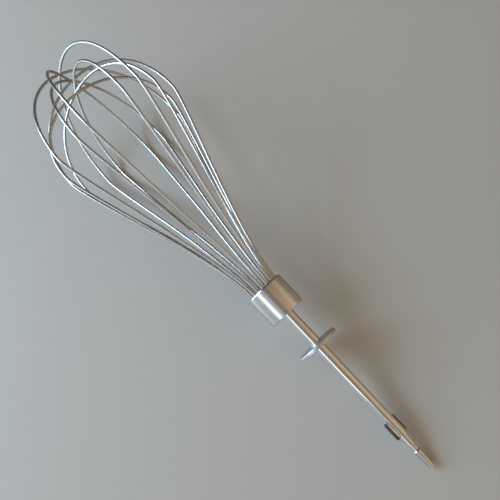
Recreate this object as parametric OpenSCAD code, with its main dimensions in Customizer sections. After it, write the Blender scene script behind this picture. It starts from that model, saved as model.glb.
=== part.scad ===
// Balloon whisk for a hand mixer: eight nested wire loops held in a crimped ferrule on a drive shaft.
// Millimetres. The whisk lies as it comes to rest on a table: on its two lowest wires and on its tip.
// +X runs along the table towards the drive tip, +Z is up, and the origin is the centre of its foot.

/* [Wire loops] */
// Wire diameter
wire_d = 1.5; // [1.2:0.1:1.8]
// Radius from the axis to the wire's middle, at the belly
belly_r = 40; // [34:0.2:42]
// Distance from the ferrule's mouth to the belly
belly_at = 112.5; // [104:0.5:120]
// Angle at which the wires leave the ferrule, in degrees
flare_angle = 0.5; // [0:0.5:6]
// Share of the leg over which it keeps that angle
flare_hold = 0.24; // [0.15:0.01:0.4]
// Share of the leg that runs level into the belly
belly_hold = 0.1; // [0.08:0.01:0.3]
// Share of the crown's height that its sides keep upright
crown_side = 0.66; // [0.5:0.01:0.8]
// Share of the belly radius that the crown's top keeps flat
crown_top = 0.54; // [0.4:0.01:0.7]
// Distance from the mouth to the crown of the innermost loop
crown_at = 148; // [142:0.5:156]
// Free space between one crown and the next
crown_gap = 0.9; // [0.8:0.1:1.5]
// Length over which a loop turns out of the plane of its holes
turn_l = 60; // [40:5:80]
// Length of each wire end inside the holder
wire_end_l = 13; // [8:0.5:15]

/* [Ferrule] */
// Outside diameter of the ferrule
ferrule_d = 20.7; // [19.5:0.1:22]
// Length of the ferrule
ferrule_l = 18; // [16:0.2:24]
// Wall of the ferrule
ferrule_wall = 0.8; // [0.5:0.1:0.9]
// Outer corner radius at the closed end
ferrule_corner_r = 0.5; // [0.3:0.1:0.8]
// Inner corner radius at the closed end
cup_corner_r = 0.2; // [0.1:0.05:0.3]
// Outer corner radius of the crimped mouth
mouth_corner_r = 1.3; // [1.1:0.1:1.6]
// Depth by which the crimped mouth reaches inside the wall
crimp_w = 0.5; // [0.3:0.05:0.7]
// Clearance between the crimped mouth and the wires
mouth_gap = 0.4; // [0.2:0.05:0.6]

/* [Wire holder] */
// Clearance between a wire and its hole
hole_gap = 0.05; // [0.02:0.01:0.1]
// Depth of the dish that the shaft's rivet head fills
dish_depth = 1.4; // [1:0.1:2]

/* [Shaft] */
// Diameter of the shaft
shaft_d = 6; // [5.5:0.1:6.5]
// Distance from the mouth to the shoulder where the full diameter ends
shoulder_at = 100; // [92:0.2:110]
// Diameter of the journal beyond the shoulder
journal_d = 4.3; // [3.8:0.1:4.8]
// Length of the journal
journal_l = 5.2; // [4:0.2:8]
// Diameter of the latch groove
groove_d = 3.1; // [2.6:0.1:3.5]
// Length of the latch groove
groove_l = 3.2; // [2.6:0.1:4.5]
// Length from the groove to the tip
tip_l = 11; // [9:0.2:14]
// Diameter of the tip's end
tip_d = 3; // [2:0.1:3.6]
// Rounding of the crest behind the groove
crest_r = 0.9; // [0.5:0.1:0.9]
// Height by which the crest stands proud of the tapered tip
crest_h = 0.12; // [0.08:0.01:0.2]
// Diameter of the rivet head in the holder's dish
rivet_d = 9; // [7.5:0.1:10]

/* [Drive ears] */
// Distance across the two ears
ear_span = 8.8; // [8:0.1:10]
// Length of the ears
ear_l = 9.8; // [7:0.1:12]
// Thickness of the ears
ear_t = 1.3; // [1:0.1:1.6]
// Corner radius of the ears
ear_corner_r = 1.1; // [0.6:0.1:1.3]
// Distance from the ears to the shoulder
ear_gap = 0.9; // [0.5:0.1:2]
// Direction of the ears about the shaft, up from level
ear_roll = 147; // [90:1:180]
// Depth of the pinched steps beside the ears
pinch_depth = 0.7; // [0.3:0.05:0.9]
// Slant of the pinched steps' ends
pinch_slant = 1; // [0.5:0.1:2]

/* [Stop disc] */
// Diameter of the stop disc
disc_d = 23.7; // [20:0.1:25]
// Thickness of the stop disc
disc_t = 1.9; // [1:0.1:3]
// Distance from the mouth to the disc
disc_at = 38.6; // [32:0.1:45]
// Edge rounding of the stop disc
disc_edge_r = 0.4; // [0.1:0.05:0.45]

/* [Fits] */
// Radial clearance of the parts pressed on the shaft and into the ferrule
press_gap = 0.03; // [0.01:0.01:0.05]

/* [Hidden] */
$fn = 96;

loops = 8;
slot_pitch = 180 / loops;
// The loops nest: this is each one's place in the stack of crowns, innermost first
stack_place = [3, 1, 7, 2, 5, 4, 6, 0];
// Turn of each loop's cage away from the plane of its holes, in degrees, as the wires have sprung
loop_turn = [-1.6, 7.6, 4.5, -5.1, 5.1, -3.2, -4.3, 4.8];
// Spring of each crown in its own plane
loop_lean = [1, -6.6, 0.6, 0.9, 0.9, -6.2, -4.7, 1.1];
// Spring of each crown out of its own plane
loop_sway = [0, -1.1, -0.2, -0.7, 0.7, 0.6, -0.3, 0.6];
// How much wider than the belly radius each loop is
loop_spread = [-1.8, 1.8, 2.8, 0.4, 0.4, 0.6, 4.3, -3.9];

wire_sides = 8;
leg_steps = 14;
crown_steps = 14;

ferrule_r = ferrule_d / 2;
inner_r = ferrule_r - ferrule_wall;
mouth_r = inner_r - crimp_w;
neck_r = mouth_r - mouth_gap - wire_d / 2;
shaft_r = shaft_d / 2;
bore_r = shaft_r + press_gap;
hole_r = wire_d / 2 + hole_gap;
holder_r = inner_r - press_gap;
holder_face = ferrule_wall;
holder_end = ferrule_l - ferrule_wall;
dish_r = rivet_d / 2 + press_gap;
disc_far = disc_at + disc_t;
journal_end = shoulder_at + journal_l;
groove_end = journal_end + groove_l;
tip_at = groove_end + tip_l;
crown_pitch = wire_d + crown_gap;

// Point at share t of a cubic Bezier curve
function bezier(p, t) =
    p[0] * pow(1 - t, 3) + 3 * p[1] * pow(1 - t, 2) * t + 3 * p[2] * (1 - t) * t * t + p[3] * pow(t, 3);

function ease(u) = let (c = min(1, max(0, u))) c * c * (3 - 2 * c);
function unit(v) = v / norm(v);
function roll_of(k) = slot_pitch * (k + 0.5);
function crown_of(k) = crown_at + crown_pitch * stack_place[k];

// Half of a loop as [distance from the mouth, radius], from the wire's end to its crown
function half_loop(k) =
    let (crown = crown_of(k), wide = belly_r + loop_spread[k],
         leg = [[0, neck_r],
                [flare_hold * belly_at, neck_r + flare_hold * belly_at * tan(flare_angle)],
                [(1 - belly_hold) * belly_at, wide], [belly_at, wide]],
         cap = [[belly_at, wide], [belly_at + crown_side * (crown - belly_at), wide],
                [crown, crown_top * wide], [crown, 0]])
    concat([[-holder_face - wire_end_l, neck_r], [-holder_face, neck_r]],
           [for (i = [0:leg_steps]) bezier(leg, i / leg_steps)],
           [for (i = [1:crown_steps]) bezier(cap, i / crown_steps)]);

// A whole loop, there and back across the axis, with signed radii
function whole_loop(k) =
    let (h = half_loop(k), n = len(h))
    concat(h, [for (i = [n - 2:-1:0]) [h[i][0], -h[i][1]]]);

function loop_angle(k, s) = roll_of(k) + loop_turn[k] * ease(s / turn_l);

// Middle of the wire in space, with the ferrule's mouth at x = 0 and the shaft along +X
function wire_point(k, p) =
    let (a = loop_angle(k, p[0]), far = pow(max(0, p[0]) / crown_at, 2),
         r = p[1] + loop_lean[k] * far, w = loop_sway[k] * far)
    [-p[0], r * cos(a) - w * sin(a), r * sin(a) + w * cos(a)];

function wire_path(k) = [for (p = whole_loop(k)) wire_point(k, p)];

// Corners of the wire's section at each point of its path
function wire_rings(k) =
    let (path = wire_path(k), last = len(path) - 1, side = [0, -sin(roll_of(k)), cos(roll_of(k))])
    [for (i = [0:last])
        let (t = unit(path[min(i + 1, last)] - path[max(i - 1, 0)]),
             u = unit(side - t * (side * t)), v = cross(t, u))
        [for (j = [0:wire_sides - 1])
            let (a = 360 * j / wire_sides) path[i] + wire_d / 2 * (cos(a) * u + sin(a) * v)]];

module wire_loop(k) {
    rings = wire_rings(k);
    n = wire_sides;
    last = len(rings) - 1;
    polyhedron(
        points = [for (ring = rings) for (p = ring) p],
        faces = concat(
            [[for (j = [n - 1:-1:0]) j]],
            [for (i = [0:last - 1]) for (j = [0:n - 1])
                [i * n + j, i * n + (j + 1) % n, (i + 1) * n + (j + 1) % n, (i + 1) * n + j]],
            [[for (j = [0:n - 1]) last * n + j]]));
}

// How the whisk lies: it leans on its lowest wires and on the first part of the shaft to touch down
all_corners = [for (k = [0:loops - 1]) for (ring = wire_rings(k)) for (p = ring) p];
feet = [[tip_at, -tip_d / 2], [disc_far - disc_edge_r, -disc_d / 2]];
lie_angles = [for (f = feet) max([for (p = all_corners) atan2(f[1] - p[2], f[0] - p[0])])];
lie_angle = min(lie_angles);
foot = lie_angles[0] <= lie_angles[1] ? feet[0] : feet[1];
lift = foot[0] * sin(lie_angle) - foot[1] * cos(lie_angle);
low_x = min([for (p = all_corners) p[0] * cos(lie_angle) + p[2] * sin(lie_angle)]);
high_x = tip_at * cos(lie_angle) + tip_d / 2 * sin(lie_angle);
low_y = min([for (p = all_corners) p[1]]);
high_y = max([for (p = all_corners) p[1]]);

module as_it_lies()
    translate([-(low_x + high_x) / 2, -(low_y + high_y) / 2, lift])
        rotate([0, lie_angle, 0]) children();

// Turns a profile drawn as [radius, distance along the shaft] about the shaft
module turned() rotate([0, 90, 0]) rotate_extrude() children();

// Ring section between two radii and two stations, with its outer corners rounded
module ring_section(r0, r1, x0, x1, c0, c1) {
    translate([r0, x0]) square([r1 - max(c0, c1) - r0, x1 - x0]);
    translate([r0, x0 + c0]) square([r1 - r0, x1 - x0 - c0 - c1]);
    translate([r0, x0]) square([r1 - c0 - r0, c0]);
    translate([r0, x1 - c1]) square([r1 - c1 - r0, c1]);
    translate([r1 - c0, x0 + c0]) circle(r = c0);
    translate([r1 - c1, x1 - c1]) circle(r = c1);
}

module ferrule() color([0.80, 0.80, 0.79]) as_it_lies() turned() difference() {
    ring_section(bore_r, ferrule_r, 0, ferrule_l, mouth_corner_r, ferrule_corner_r);
    ring_section(0, inner_r, holder_face, holder_end, mouth_corner_r - ferrule_wall, cup_corner_r);
    translate([0, -1]) square([mouth_r, holder_face + 2]);
}

module wire_holder() color([0.70, 0.70, 0.70]) as_it_lies() difference() {
    turned() difference() {
        ring_section(bore_r, holder_r, holder_face, holder_end, mouth_corner_r - ferrule_wall, cup_corner_r);
        translate([0, holder_face - 1]) square([dish_r, dish_depth + 1]);
    }
    for (k = [0:2 * loops - 1])
        rotate([roll_of(k), 0, 0]) translate([holder_face - 1, neck_r, 0])
            rotate([0, 90, 0]) cylinder(r = hole_r, h = wire_end_l + 1 + press_gap);
}

module shaft_body() turned() {
    square_to(shaft_r, holder_face + dish_depth - 0.01, shoulder_at);
    square_to(rivet_d / 2, holder_face, holder_face + dish_depth);
    square_to(journal_d / 2, shoulder_at - 0.01, journal_end);
    square_to(groove_d / 2, journal_end - 0.01, groove_end + crest_r);
    crest_x = groove_end + crest_r;
    crest_y = journal_d / 2 - crest_r;
    translate([crest_y, crest_x]) circle(r = crest_r);
    square_to(crest_y, groove_end, crest_x);
    polygon([[0, crest_x - 0.01], [journal_d / 2 - crest_h, crest_x - 0.01],
             [tip_d / 2, tip_at], [0, tip_at]]);
}

// Solid round stretch of the shaft, as a turned profile
module square_to(r, x0, x1) translate([0, x0]) square([r, x1 - x0]);

module ear_outline() {
    x0 = shoulder_at - ear_gap - ear_l;
    translate([x0, -ear_span / 2 + ear_corner_r]) square([ear_l, ear_span - 2 * ear_corner_r]);
    translate([x0 + ear_corner_r, -ear_span / 2]) square([ear_l - 2 * ear_corner_r, ear_span]);
    for (x = [x0 + ear_corner_r, x0 + ear_l - ear_corner_r], s = [-1, 1])
        translate([x, s * (ear_span / 2 - ear_corner_r)]) circle(r = ear_corner_r);
}

// One pinched step, drawn along the shaft and out from its middle
module pinch_outline() {
    x0 = shoulder_at - ear_gap - ear_l;
    x1 = shoulder_at - ear_gap;
    deep = shaft_r - pinch_depth;
    polygon([[x0, shaft_r + pinch_slant], [x0 + pinch_slant, deep],
             [x1 - pinch_slant, deep], [x1, shaft_r + pinch_slant]]);
}

module shaft() color([0.78, 0.77, 0.75]) as_it_lies() {
    difference() {
        shaft_body();
        rotate([ear_roll, 0, 0]) for (s = [-1, 1], side = [-1, 1])
            mirror([0, s < 0 ? 1 : 0, 0])
                translate([0, 0, side > 0 ? ear_t / 2 : -ear_t / 2 - shaft_d])
                    linear_extrude(shaft_d) pinch_outline();
    }
    rotate([ear_roll, 0, 0]) translate([0, 0, -ear_t / 2]) linear_extrude(ear_t) ear_outline();
}

module stop_disc() color([0.80, 0.80, 0.80]) as_it_lies() turned()
    ring_section(bore_r, disc_d / 2, disc_at, disc_far, disc_edge_r, disc_edge_r);

module wire_loop_1() color([0.86, 0.86, 0.86]) as_it_lies() wire_loop(0);
module wire_loop_2() color([0.84, 0.84, 0.84]) as_it_lies() wire_loop(1);
module wire_loop_3() color([0.86, 0.86, 0.86]) as_it_lies() wire_loop(2);
module wire_loop_4() color([0.84, 0.84, 0.84]) as_it_lies() wire_loop(3);
module wire_loop_5() color([0.86, 0.86, 0.86]) as_it_lies() wire_loop(4);
module wire_loop_6() color([0.84, 0.84, 0.84]) as_it_lies() wire_loop(5);
module wire_loop_7() color([0.86, 0.86, 0.86]) as_it_lies() wire_loop(6);
module wire_loop_8() color([0.84, 0.84, 0.84]) as_it_lies() wire_loop(7);

shaft();
stop_disc();
ferrule();
wire_holder();
wire_loop_1();
wire_loop_2();
wire_loop_3();
wire_loop_4();
wire_loop_5();
wire_loop_6();
wire_loop_7();
wire_loop_8();
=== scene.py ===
from math import atan2, cos, degrees, pi, radians, sin, tan

import bmesh
import bpy
from mathutils import Matrix, Vector


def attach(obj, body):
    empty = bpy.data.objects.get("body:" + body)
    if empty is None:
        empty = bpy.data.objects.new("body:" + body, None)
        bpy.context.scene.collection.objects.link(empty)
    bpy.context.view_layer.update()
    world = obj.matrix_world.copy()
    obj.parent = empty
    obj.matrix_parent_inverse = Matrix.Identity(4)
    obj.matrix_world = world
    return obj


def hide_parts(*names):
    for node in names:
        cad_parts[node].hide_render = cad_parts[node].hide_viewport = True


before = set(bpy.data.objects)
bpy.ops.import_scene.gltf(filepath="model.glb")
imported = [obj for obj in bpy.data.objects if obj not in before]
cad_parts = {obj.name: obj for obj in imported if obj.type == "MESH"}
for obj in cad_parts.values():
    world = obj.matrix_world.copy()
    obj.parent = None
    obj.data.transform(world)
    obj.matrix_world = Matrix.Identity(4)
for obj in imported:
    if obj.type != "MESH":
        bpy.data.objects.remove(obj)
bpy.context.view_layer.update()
mm = 0.001

# The whisk is modelled upright, with +Z from the ferrule's mouth to the drive tip, and then laid down
lie = {"tilt": 9.24343, "mouth": (0.0228247, -0.000569484, 0.0206597)}
layDown = (Matrix.Translation(lie["mouth"]) @ Matrix.Rotation(radians(lie["tilt"]), 4, "Y")
           @ Matrix.Rotation(radians(90), 4, "Y"))


def deselectAll():
    if bpy.context.object and bpy.context.object.mode != "OBJECT":
        bpy.ops.object.mode_set(mode="OBJECT")
    bpy.ops.object.select_all(action="DESELECT")


def pickOnly(piece):
    deselectAll()
    piece.select_set(True)
    bpy.context.view_layer.objects.active = piece


def pick(piece, kind, test):  # selects the vertices, edges or faces that pass the test, in edit mode
    bpy.ops.mesh.select_mode(type=kind)
    bpy.ops.mesh.select_all(action="DESELECT")
    bm = bmesh.from_edit_mesh(piece.data)
    for item in {"VERT": bm.verts, "EDGE": bm.edges, "FACE": bm.faces}[kind]:
        if test(item):
            item.select_set(True)
    bm.select_flush_mode()
    bmesh.update_edit_mesh(piece.data)


def moveVerts(piece, test, place):  # moves each vertex that passes the test, in edit mode
    bm = bmesh.from_edit_mesh(piece.data)
    for v in bm.verts:
        if test(v):
            v.co = place(v.co.copy())
    bmesh.update_edit_mesh(piece.data)


def arc(z, r, size, start, end, steps):  # stations (z, radius) round a corner, angles from +Z towards outside
    return [(z + size * cos(radians(start + (end - start) * i / steps)),
             r + size * sin(radians(start + (end - start) * i / steps))) for i in range(steps + 1)]


def turnedBody(name, sides, stations):  # a cylinder whose far face is drawn out from station to station
    deselectAll()
    (z0, r0), (z1, r1) = stations[:2]
    bpy.ops.mesh.primitive_cylinder_add(vertices=sides, radius=r0 * mm, depth=(z1 - z0) * mm,
                                        location=(0, 0, (z0 + z1) / 2 * mm))
    piece = bpy.context.object
    piece.name = name
    bpy.ops.object.transform_apply(location=True, rotation=True, scale=True)
    bpy.ops.object.mode_set(mode="EDIT")
    pick(piece, "FACE", lambda f: f.normal.z > 0.9)
    bpy.ops.transform.resize(value=(r1 / r0, r1 / r0, 1), center_override=(0, 0, 0))
    for (za, ra), (zb, rb) in zip(stations[1:], stations[2:]):
        bpy.ops.mesh.extrude_region_move(TRANSFORM_OT_translate={"value": (0, 0, (zb - za) * mm)})
        if abs(rb - ra) > 1e-6:
            bpy.ops.transform.resize(value=(rb / ra, rb / ra, 1), center_override=(0, 0, 0))
    return piece


def finishPiece(piece, nodes, angle=35):  # lays the piece down with its place in its mesh
    if piece.mode != "OBJECT":
        bpy.ops.object.mode_set(mode="OBJECT")
    pickOnly(piece)
    piece.matrix_world = layDown @ piece.matrix_world
    bpy.ops.object.transform_apply(location=True, rotation=True, scale=True)
    bpy.ops.object.shade_smooth_by_angle(angle=radians(angle))
    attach(piece, "root")
    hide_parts(*nodes)
    print("made", piece.name, len(piece.data.polygons), "faces")
    return piece


# Drive shaft: rivet head, round bar, pressed ears, journal, latch groove, crest and tapered tip
shaft = {"sides": 112, "radius": 3.0, "barRings": (30, 60), "smooth": 32,
         "rivetFace": [(0.42, 1.2), (0.47, 2.2), (0.6, 3.1), (0.8, 3.8), (1.02, 4.3), (1.3, 4.5)],
         "rivetEnd": 2.2, "rivetRadius": 4.5,
         "shoulder": 100.0, "shoulderRound": [(0.22, 0), (0.07, 0.07), (0, 0.22)],
         "journalRadius": 2.15, "journalEnd": 105.2, "journalEdge": [(0.18, 0), (0, 0.16)], "grooveRadius": 1.55,
         "crestAt": 109.3, "crestRound": 0.9, "crestArc": (160, 60, 10), "crestProud": 0.12,
         "tip": 119.4, "tipRadius": 1.5, "tipStraight": 0.3, "tipRound": [(0.08, 0.08), (0, 0.3)],
         "earFrom": 89.3, "earTo": 99.1, "earReach": 4.4, "earHalf": 0.65, "stripHalf": 0.6676, "slant": 1.0,
         "earCorner": 1.1, "cornerSteps": 7, "earRoll": 147,
         "pinch": 2.3, "pinchBand": (12.5, 41), "clear": 0.1, "near": 0.02,
         "softEdge": 0.16, "softSteps": 3, "softOver": 48, "softBeyond": 2.2}


def edgeBefore(z, r, steps):  # stations that end at z, each short of z and inside r by its own amounts
    return [(z - short, r - inside) for short, inside in steps]


def makeShaft(s):
    bar = (*s["barRings"], s["earFrom"], s["earFrom"] + s["slant"], s["earTo"] - s["slant"], s["earTo"])
    crest = s["journalRadius"] - s["crestRound"]
    slope = (s["journalRadius"] - s["crestProud"] - s["tipRadius"]) / (s["tip"] - s["crestAt"])
    stations = [*s["rivetFace"], (s["rivetEnd"], s["rivetRadius"]), (s["rivetEnd"], s["radius"])]
    stations += [(z, s["radius"]) for z in bar]
    stations += edgeBefore(s["shoulder"], s["radius"], s["shoulderRound"])
    stations += [(s["shoulder"], s["journalRadius"])]
    stations += edgeBefore(s["journalEnd"], s["journalRadius"], s["journalEdge"])
    stations += [(s["journalEnd"], s["grooveRadius"])]
    stations += arc(s["crestAt"], crest, s["crestRound"], *s["crestArc"])
    stations += [(s["tip"] - s["tipStraight"], s["tipRadius"] + s["tipStraight"] * slope)]
    stations += edgeBefore(s["tip"], s["tipRadius"], s["tipRound"])
    piece = turnedBody("driveShaft", s["sides"], stations)
    bandFrom, bandTo = s["pinchBand"]

    def offAxis(co):  # degrees from the plane of the ears
        return degrees(atan2(abs(co.y), abs(co.x)))

    def along(co, grow):  # within the ears' length, grown by that much at each end
        return s["earFrom"] - grow < co.z / mm < s["earTo"] + grow

    def pinched(v):
        return (along(v.co, -s["clear"]) and bandFrom < offAxis(v.co) < bandTo
                and abs(v.co.x) > s["pinch"] * mm)

    def onStrip(face, side):
        middle = face.calc_center_median()
        return (middle.x * side > 0 and offAxis(middle) < bandFrom and along(middle, 0)
                and abs(face.normal.z) < 0.5)

    def earCorner(v):
        ends = abs(v.co.z / mm - s["earFrom"]), abs(v.co.z / mm - s["earTo"])
        return abs(abs(v.co.x) / mm - s["earReach"]) < s["near"] and min(ends) < s["near"]

    def sharpEdge(e):
        return (len(e.link_faces) == 2 and degrees(e.calc_face_angle(0)) > s["softOver"]
                and all(along(v.co, s["clear"]) and abs(v.co.x) > s["softBeyond"] * mm for v in e.verts))

    moveVerts(piece, pinched, lambda co: Vector((s["pinch"] * mm * (1 if co.x > 0 else -1), co.y, co.z)))
    for side in (1, -1):
        pick(piece, "FACE", lambda f: onStrip(f, side))
        bpy.ops.mesh.extrude_region_move(TRANSFORM_OT_translate={"value": (side * mm, 0, 0)})
        moveVerts(piece, lambda v: v.select,
                  lambda co: Vector((side * s["earReach"] * mm, co.y * s["earHalf"] / s["stripHalf"], co.z)))
    pick(piece, "EDGE", lambda e: all(earCorner(v) for v in e.verts))
    bpy.ops.mesh.bevel(offset=s["earCorner"] * mm, segments=s["cornerSteps"], profile=0.5)
    pick(piece, "EDGE", sharpEdge)
    bpy.ops.mesh.bevel(offset=s["softEdge"] * mm, segments=s["softSteps"], profile=0.5, clamp_overlap=True)
    bpy.ops.mesh.select_all(action="SELECT")
    bpy.ops.transform.rotate(value=-radians(s["earRoll"] + 90), orient_axis="Z", center_override=(0, 0, 0))
    return finishPiece(piece, ["shaft"], s["smooth"])


# Stop disc: a plain plate pressed on the shaft
disc = {"sides": 160, "radius": 11.85, "from": 38.6, "to": 40.5, "edge": 0.4, "edgeSteps": 5, "bore": 3.0}


def makeDisc(d):
    inner = d["radius"] - d["edge"]
    stations = [(d["from"], inner)]
    stations += arc(d["from"] + d["edge"], inner, d["edge"], 180, 90, d["edgeSteps"])[1:]
    stations += arc(d["to"] - d["edge"], inner, d["edge"], 90, 0, d["edgeSteps"])
    piece = turnedBody("stopDisc", d["sides"], stations)
    pick(piece, "FACE", lambda f: abs(f.normal.z) > 0.99 and len(f.verts) > 8)
    bpy.ops.mesh.inset(thickness=(inner - d["bore"]) * mm)
    bpy.ops.mesh.bridge_edge_loops()
    return finishPiece(piece, ["stop_disc"])


# Ferrule: a cup turned over at its mouth, closed round the shaft at its far end
ferrule = {"sides": 160, "radius": 10.35, "length": 18.0, "wall": 0.8, "innerRadius": 9.55,
           "mouthRound": 1.3, "mouthSteps": 9, "mouthRadius": 9.05, "endRound": 0.5, "endSteps": 5}


def makeFerrule(f):
    lip = arc(f["mouthRound"], f["radius"] - f["mouthRound"], f["mouthRound"], 180, 90, f["mouthSteps"])
    end = arc(f["length"] - f["endRound"], f["radius"] - f["endRound"], f["endRound"], 90, 0, f["endSteps"])
    piece = turnedBody("ferruleCup", f["sides"], lip + end)
    pick(piece, "FACE", lambda g: g.normal.z < -0.9 and len(g.verts) > 8)
    bpy.ops.mesh.extrude_region_move(TRANSFORM_OT_translate={"value": (0, 0, f["wall"] * mm)})
    wide = f["innerRadius"] / f["mouthRadius"]
    bpy.ops.mesh.extrude_region_move(TRANSFORM_OT_translate={"value": (0, 0, 0)})
    bpy.ops.transform.resize(value=(wide, wide, 1), center_override=(0, 0, 0))
    deep = f["length"] - 2 * f["wall"]
    bpy.ops.mesh.extrude_region_move(TRANSFORM_OT_translate={"value": (0, 0, deep * mm)})
    return finishPiece(piece, ["ferrule"])


# Wire loops: each is one wire, up one side of the cage, over its crown and down the other
wire = {"radius": 0.75, "neck": 7.9, "belly": 40.0, "bellyAt": 112.5, "flare": 0.5, "flareHold": 0.24,
        "bellyHold": 0.1, "crownSide": 0.66, "crownTop": 0.54, "crownAt": 148, "crownPitch": 2.4,
        "firstTurn": 11.25, "turnStep": 22.5, "turnLength": 60, "endInside": 13.8,
        "legPoints": 22, "crownPoints": 20, "knotSteps": 3, "roundSteps": 6, "weld": 0.01}
# What differs from loop to loop: its crown's place in the stack, its turn in degrees, and in mm its lean in its
# own plane, its sway out of it and the spread of its belly
stackPlace = [3, 1, 7, 2, 5, 4, 6, 0]
loopTurn = [-1.6, 7.6, 4.5, -5.1, 5.1, -3.2, -4.3, 4.8]
loopLean = [1, -6.6, 0.6, 0.9, 0.9, -6.2, -4.7, 1.1]
loopSway = [0, -1.1, -0.2, -0.7, 0.7, 0.6, -0.3, 0.6]
loopSpread = [-1.8, 1.8, 2.8, 0.4, 0.4, 0.6, 4.3, -3.9]


def bezier(p, t):
    a, b, c, d = (1 - t) ** 3, 3 * (1 - t) ** 2 * t, 3 * (1 - t) * t * t, t ** 3
    return (a * p[0][0] + b * p[1][0] + c * p[2][0] + d * p[3][0],
            a * p[0][1] + b * p[1][1] + c * p[2][1] + d * p[3][1])


def wireRoute(w, k):  # points of loop k, in mm, with the mouth at z = 0 and the cage along -Z
    crown = w["crownAt"] + w["crownPitch"] * stackPlace[k]
    wide = w["belly"] + loopSpread[k]
    hold = w["flareHold"] * w["bellyAt"]
    leg = [(0, w["neck"]), (hold, w["neck"] + hold * tan(radians(w["flare"]))),
           ((1 - w["bellyHold"]) * w["bellyAt"], wide), (w["bellyAt"], wide)]
    cap = [(w["bellyAt"], wide), (w["bellyAt"] + w["crownSide"] * (crown - w["bellyAt"]), wide),
           (crown, w["crownTop"] * wide), (crown, 0)]
    half = [(-w["endInside"], w["neck"]), (-w["endInside"] / 2, w["neck"])]
    half += [bezier(leg, i / w["legPoints"]) for i in range(w["legPoints"] + 1)]
    half += [bezier(cap, i / w["crownPoints"]) for i in range(1, w["crownPoints"] + 1)]
    points = []
    for s, r in half + [(s, -r) for s, r in reversed(half[:-1])]:
        u = min(1, max(0, s / w["turnLength"]))
        angle = radians(w["firstTurn"] + w["turnStep"] * k + loopTurn[k] * u * u * (3 - 2 * u))
        far = (max(0, s) / w["crownAt"]) ** 2
        out, aside = r + loopLean[k] * far, loopSway[k] * far
        x = -out * sin(angle) - aside * cos(angle)
        y = out * cos(angle) - aside * sin(angle)
        points.append(Vector((x, y, -s)) * mm)
    return points


def makeLoop(w, k):
    deselectAll()
    bpy.ops.curve.primitive_bezier_curve_add(location=(0, 0, 0))
    bent = bpy.context.object
    bent.name = "wireLoop%d" % (k + 1)
    route = wireRoute(w, k)
    knots = bent.data.splines[0].bezier_points
    knots.add(len(route) - len(knots))
    for knot, point in zip(knots, route):
        knot.co = point
        knot.handle_left_type = knot.handle_right_type = "AUTO"
    bent.data.dimensions = "3D"
    bent.data.resolution_u = w["knotSteps"]
    bent.data.bevel_depth = w["radius"] * mm
    bent.data.bevel_resolution = w["roundSteps"]
    bent.data.use_fill_caps = True
    pickOnly(bent)
    bpy.ops.object.convert(target="MESH")
    bent = bpy.context.object
    bpy.ops.object.mode_set(mode="EDIT")
    bpy.ops.mesh.select_all(action="SELECT")
    bpy.ops.mesh.remove_doubles(threshold=w["weld"] * mm)
    bpy.ops.mesh.normals_make_consistent(inside=False)
    return finishPiece(bent, ["wire_loop_%d" % (k + 1)])


# Steel finishes: one node group makes the marks of drawing and turning, and each material sets its own scales
grainLook = {"lineDetail": 3.0, "cloudDetail": 4.0, "cloudRoughness": 0.6, "span": (0.6, 1.4)}


def socketGroup(name, inputs, outputs):  # a node group with those sockets, and its input and output nodes
    group = bpy.data.node_groups.new(name, "ShaderNodeTree")
    for label, kind, value in inputs:
        socket = group.interface.new_socket(name=label, in_out="INPUT", socket_type=kind)
        if value is not None:
            socket.default_value = value
    for label, kind in outputs:
        group.interface.new_socket(name=label, in_out="OUTPUT", socket_type=kind)
    return group, group.nodes.new("NodeGroupInput"), group.nodes.new("NodeGroupOutput")


def steelGrain():  # fine drawn or turned lines, stretched by the two scales, and a slow cloudiness under them
    group, come, go = socketGroup(
        "steelGrain",
        [("Place", "NodeSocketVector", None), ("Across", "NodeSocketFloat", 300.0),
         ("Along", "NodeSocketFloat", 8000.0), ("Cloud Scale", "NodeSocketFloat", 60.0)],
        [("Lines", "NodeSocketFloat"), ("Clouds", "NodeSocketFloat")])
    nodes, links = group.nodes, group.links
    scale = nodes.new("ShaderNodeCombineXYZ")
    links.new(come.outputs["Across"], scale.inputs["X"])
    links.new(come.outputs["Across"], scale.inputs["Y"])
    links.new(come.outputs["Along"], scale.inputs["Z"])
    stretch = nodes.new("ShaderNodeVectorMath")
    stretch.operation = "MULTIPLY"
    links.new(come.outputs["Place"], stretch.inputs[0])
    links.new(scale.outputs["Vector"], stretch.inputs[1])
    lines = nodes.new("ShaderNodeTexNoise")
    lines.inputs["Scale"].default_value = 1.0
    lines.inputs["Detail"].default_value = grainLook["lineDetail"]
    links.new(stretch.outputs["Vector"], lines.inputs["Vector"])
    clouds = nodes.new("ShaderNodeTexNoise")
    clouds.inputs["Detail"].default_value = grainLook["cloudDetail"]
    clouds.inputs["Roughness"].default_value = grainLook["cloudRoughness"]
    links.new(come.outputs["Place"], clouds.inputs["Vector"])
    links.new(come.outputs["Cloud Scale"], clouds.inputs["Scale"])
    links.new(lines.outputs["Fac"], go.inputs["Lines"])
    links.new(clouds.outputs["Fac"], go.inputs["Clouds"])
    return group


grain = steelGrain()


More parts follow.
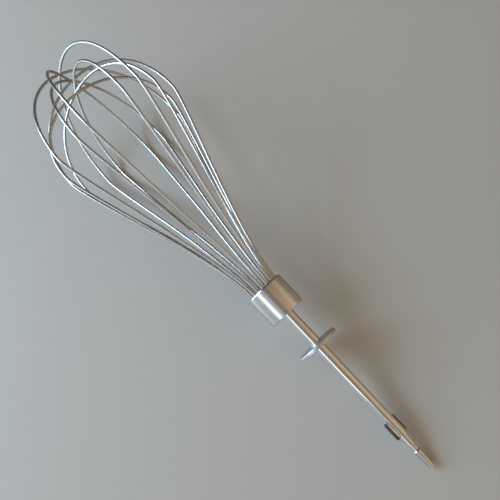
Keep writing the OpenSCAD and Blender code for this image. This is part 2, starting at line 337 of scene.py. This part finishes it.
def steel(name, m):  # a bare steel: clouded colour, and roughness and fine relief from the marks
    material = bpy.data.materials.new(name)
    material.use_nodes = True
    nodes, links = material.node_tree.nodes, material.node_tree.links
    shader = nodes["Principled BSDF"]
    shader.inputs["Metallic"].default_value = 1.0
    coords = nodes.new("ShaderNodeTexCoord")
    local = nodes.new("ShaderNodeMapping")  # turns the pattern so that Z runs along the shaft
    local.vector_type = "TEXTURE"
    local.inputs["Location"].default_value = lie["mouth"]
    local.inputs["Rotation"].default_value = layDown.to_euler()
    links.new(coords.outputs["Object"], local.inputs["Vector"])
    marks = nodes.new("ShaderNodeGroup")
    marks.node_tree = grain
    marks.inputs["Across"].default_value = m["across"]
    marks.inputs["Along"].default_value = m["along"]
    marks.inputs["Cloud Scale"].default_value = m["cloudScale"]
    links.new(local.outputs["Vector"], marks.inputs["Place"])
    tint = nodes.new("ShaderNodeMix")
    tint.data_type = "RGBA"
    tint.inputs["A"].default_value = (*m["dark"], 1)
    tint.inputs["B"].default_value = (*m["light"], 1)
    links.new(marks.outputs["Clouds"], tint.inputs["Factor"])
    colorFrom = tint
    if "pressed" in m:  # what stands proud of the bar, the ears, gets a painted dark reflection in its colour
        flatOut = nodes.new("ShaderNodeVectorMath")
        flatOut.operation = "MULTIPLY"
        flatOut.inputs[1].default_value = (1, 1, 0)
        links.new(local.outputs["Vector"], flatOut.inputs[0])
        reach = nodes.new("ShaderNodeVectorMath")
        reach.operation = "LENGTH"
        links.new(flatOut.outputs["Vector"], reach.inputs[0])
        proud = nodes.new("ShaderNodeMapRange")
        proud.inputs["From Min"].default_value = m["proud"][0] * mm
        proud.inputs["From Max"].default_value = m["proud"][1] * mm
        links.new(reach.outputs["Value"], proud.inputs["Value"])
        pressed = nodes.new("ShaderNodeMix")
        pressed.data_type = "RGBA"
        pressed.inputs["B"].default_value = (*m["pressed"], 1)
        links.new(proud.outputs["Result"], pressed.inputs["Factor"])
        links.new(tint.outputs["Result"], pressed.inputs["A"])
        colorFrom = pressed
    links.new(colorFrom.outputs["Result"], shader.inputs["Base Color"])
    both = nodes.new("ShaderNodeMath")
    both.operation = "ADD"
    links.new(marks.outputs["Lines"], both.inputs[0])
    links.new(marks.outputs["Clouds"], both.inputs[1])
    rough = nodes.new("ShaderNodeMapRange")
    rough.inputs["From Min"].default_value, rough.inputs["From Max"].default_value = grainLook["span"]
    rough.inputs["To Min"].default_value, rough.inputs["To Max"].default_value = m["roughness"]
    links.new(both.outputs["Value"], rough.inputs["Value"])
    links.new(rough.outputs["Result"], shader.inputs["Roughness"])
    bump = nodes.new("ShaderNodeBump")
    bump.inputs["Strength"].default_value = m["bump"]
    bump.inputs["Distance"].default_value = m["bumpDepth"] * mm
    links.new(marks.outputs["Lines"], bump.inputs["Height"])
    links.new(bump.outputs["Normal"], shader.inputs["Normal"])
    return material


finishes = {
    # In barSteel the ears' dark colour is a painted dark reflection
    "barSteel": {"dark": (0.66, 0.645, 0.63), "light": (0.80, 0.79, 0.78), "roughness": (0.09, 0.16),
                 "across": 250.0, "along": 5000.0, "cloudScale": 90.0, "bump": 0.12, "bumpDepth": 0.01,
                 "proud": (3.02, 3.25), "pressed": (0.12, 0.11, 0.11)},
    "cupSteel": {"dark": (0.66, 0.65, 0.64), "light": (0.80, 0.80, 0.80), "roughness": (0.16, 0.26),
                 "across": 3500.0, "along": 120.0, "cloudScale": 160.0, "bump": 0.12, "bumpDepth": 0.01},
    "plateSteel": {"dark": (0.62, 0.62, 0.62), "light": (0.78, 0.78, 0.78), "roughness": (0.32, 0.46),
                   "across": 1800.0, "along": 1800.0, "cloudScale": 150.0, "bump": 0.10, "bumpDepth": 0.01},
    "wireSteel": {"dark": (0.53, 0.515, 0.495), "light": (0.66, 0.65, 0.635), "roughness": (0.17, 0.27),
                  "across": 2500.0, "along": 400.0, "cloudScale": 120.0, "bump": 0.04, "bumpDepth": 0.01},
    "plugSteel": {"dark": (0.42, 0.42, 0.42), "light": (0.58, 0.58, 0.58), "roughness": (0.28, 0.42),
                  "across": 900.0, "along": 900.0, "cloudScale": 200.0, "bump": 0.10, "bumpDepth": 0.02},
}
steels = {name: steel(name, values) for name, values in finishes.items()}


def dress(piece, finish):
    piece.data.materials.clear()
    piece.data.materials.append(steels[finish])


dress(makeShaft(shaft), "barSteel")
dress(makeDisc(disc), "plateSteel")
dress(makeFerrule(ferrule), "cupSteel")
for k in range(8):
    dress(makeLoop(wire, k), "wireSteel")
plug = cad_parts["wire_holder"]
for slotIndex in range(len(plug.material_slots)):
    plug.material_slots[slotIndex].material = steels["plugSteel"]
print("pieces done")

# Table, soft studio light and camera
stage = {"size": 3.0, "color": (0.625, 0.59, 0.528), "roughness": 0.42, "shine": 0.2, "mirrored": 0.88,
         "wall": (0.52, 0.52, 0.51), "aimHeight": 0.02}
deselectAll()
bpy.ops.mesh.primitive_plane_add(size=stage["size"], location=(0, 0, 0))
table = bpy.context.object
table.name = "table"
tableTop = bpy.data.materials.new("tableTop")
tableTop.use_nodes = True
topShader = tableTop.node_tree.nodes["Principled BSDF"]
topShader.inputs["Base Color"].default_value = (*stage["color"], 1)
topShader.inputs["Roughness"].default_value = stage["roughness"]
topShader.inputs["Specular IOR Level"].default_value = stage["shine"]
# Seen in the whisk's own steel, the table is a brushed metal one, dark on the side away from the window
topPath = tableTop.node_tree.nodes.new("ShaderNodeLightPath")
topMetal = tableTop.node_tree.nodes.new("ShaderNodeMath")
topMetal.operation = "MULTIPLY"
topMetal.inputs[1].default_value = stage["mirrored"]
tableTop.node_tree.links.new(topPath.outputs["Is Glossy Ray"], topMetal.inputs[0])
tableTop.node_tree.links.new(topMetal.outputs["Value"], topShader.inputs["Metallic"])
table.data.materials.append(tableTop)

lamps = {
    "window": {"toward": (-0.65, -0.76), "height": 23, "distance": 0.85, "size": (0.62, 0.44), "watts": 7.8,
               "color": (0.47, 0.69, 0.95)},
    "sideWindow": {"toward": (0.10, -1.0), "height": 33, "distance": 1.1, "size": (1.0, 0.36), "watts": 1.5,
                   "color": (0.80, 0.92, 1.0)},
}
for name, lamp in lamps.items():
    flat = Vector((*lamp["toward"], 0)).normalized()
    aim = flat * cos(radians(lamp["height"])) + Vector((0, 0, sin(radians(lamp["height"]))))
    deselectAll()
    place = aim * lamp["distance"] + Vector((0, 0, stage["aimHeight"]))
    bpy.ops.object.light_add(type="AREA", location=place)
    light = bpy.context.object
    light.name = name
    light.rotation_euler = aim.to_track_quat("Z", "Y").to_euler()
    light.data.shape = "RECTANGLE"
    light.data.size, light.data.size_y = lamp["size"]
    light.data.energy = lamp["watts"]
    light.data.color = lamp["color"]

# Room: its tones run round the whisk, from the floor line before it (-Y, at -90 degrees) over the ceiling (0) to
# the one behind it (90), and a dark corner lies beyond the crown of the cage
room = bpy.data.worlds.new("room")
bpy.context.scene.world = room
room.use_nodes = True
roomNodes, roomLinks = room.node_tree.nodes, room.node_tree.links
back = roomNodes["Background"]
where = roomNodes.new("ShaderNodeTexCoord")
split = roomNodes.new("ShaderNodeSeparateXYZ")
roomLinks.new(where.outputs["Generated"], split.inputs["Vector"])
turned = roomNodes.new("ShaderNodeMath")
turned.operation = "ARCTAN2"
roomLinks.new(split.outputs["Y"], turned.inputs[0])
roomLinks.new(split.outputs["Z"], turned.inputs[1])
across = roomNodes.new("ShaderNodeMapRange")
across.inputs["From Min"].default_value = -pi / 2
across.inputs["From Max"].default_value = pi / 2
roomLinks.new(turned.outputs["Value"], across.inputs["Value"])
ramp = roomNodes.new("ShaderNodeValToRGB")
roomLinks.new(across.outputs["Result"], ramp.inputs["Fac"])
tones = [(-90, (0.40, 0.51, 0.61)), (-76, (0.45, 0.51, 0.54)), (-45, (0.54, 0.53, 0.52)),
         (-30, (0.45, 0.465, 0.49)), (-18, (0.24, 0.225, 0.225)), (-9, (0.195, 0.16, 0.13)),
         (2, (0.33, 0.25, 0.17)), (12, (0.49, 0.355, 0.235)), (24, (0.51, 0.35, 0.20)),
         (34, (0.56, 0.41, 0.25)), (52, (0.65, 0.515, 0.355)), (68, (0.67, 0.55, 0.39)),
         (75, (0.33, 0.25, 0.155)), (80, (0.44, 0.365, 0.26)), (88, (0.26, 0.215, 0.155))]
while len(ramp.color_ramp.elements) < len(tones):
    ramp.color_ramp.elements.new(0.5)
for element, (degree, color) in zip(ramp.color_ramp.elements, tones):
    element.position = (degree + 90) / 180
    element.color = (*color, 1)
# From one edge to the other, as a dot product with the corner's direction, the tones fall to a part of their light
shade = {"toward": Vector((-0.80, 0.38, 0.47)), "edge": (0.35, 0.85), "light": (1.0, 0.24)}
facing = roomNodes.new("ShaderNodeVectorMath")
facing.operation = "DOT_PRODUCT"
facing.inputs[1].default_value = shade["toward"]
roomLinks.new(where.outputs["Generated"], facing.inputs[0])
dim = roomNodes.new("ShaderNodeMapRange")
dim.inputs["From Min"].default_value, dim.inputs["From Max"].default_value = shade["edge"]
dim.inputs["To Min"].default_value, dim.inputs["To Max"].default_value = shade["light"]
roomLinks.new(facing.outputs["Value"], dim.inputs["Value"])
shaded = roomNodes.new("ShaderNodeVectorMath")
shaded.operation = "SCALE"
roomLinks.new(ramp.outputs["Color"], shaded.inputs[0])
roomLinks.new(dim.outputs["Result"], shaded.inputs["Scale"])
# The camera sees a plain pale wall in the room's place
roomPath = roomNodes.new("ShaderNodeLightPath")
seen = roomNodes.new("ShaderNodeMix")
seen.data_type = "RGBA"
seen.inputs["B"].default_value = (*stage["wall"], 1)
roomLinks.new(roomPath.outputs["Is Camera Ray"], seen.inputs["Factor"])
roomLinks.new(shaded.outputs["Vector"], seen.inputs["A"])
roomLinks.new(seen.outputs["Result"], back.inputs["Color"])

# Camera: place in metres and turn in degrees, both fitted to the photo
view = {"place": (0.0806098, -0.0272586, 0.2835209), "turn": (17.0245, 5.8181, 47.2724), "lens": 37.761,
        "sensor": 36, "clip": 0.01}
bpy.ops.object.camera_add(location=view["place"], rotation=[radians(a) for a in view["turn"]])
camera = bpy.context.object
camera.name = "camera"
camera.data.lens = view["lens"]
camera.data.sensor_width = view["sensor"]
camera.data.clip_start = view["clip"]
bpy.context.scene.camera = camera
bpy.context.scene.view_settings.view_transform = "Standard"
print("stage done")
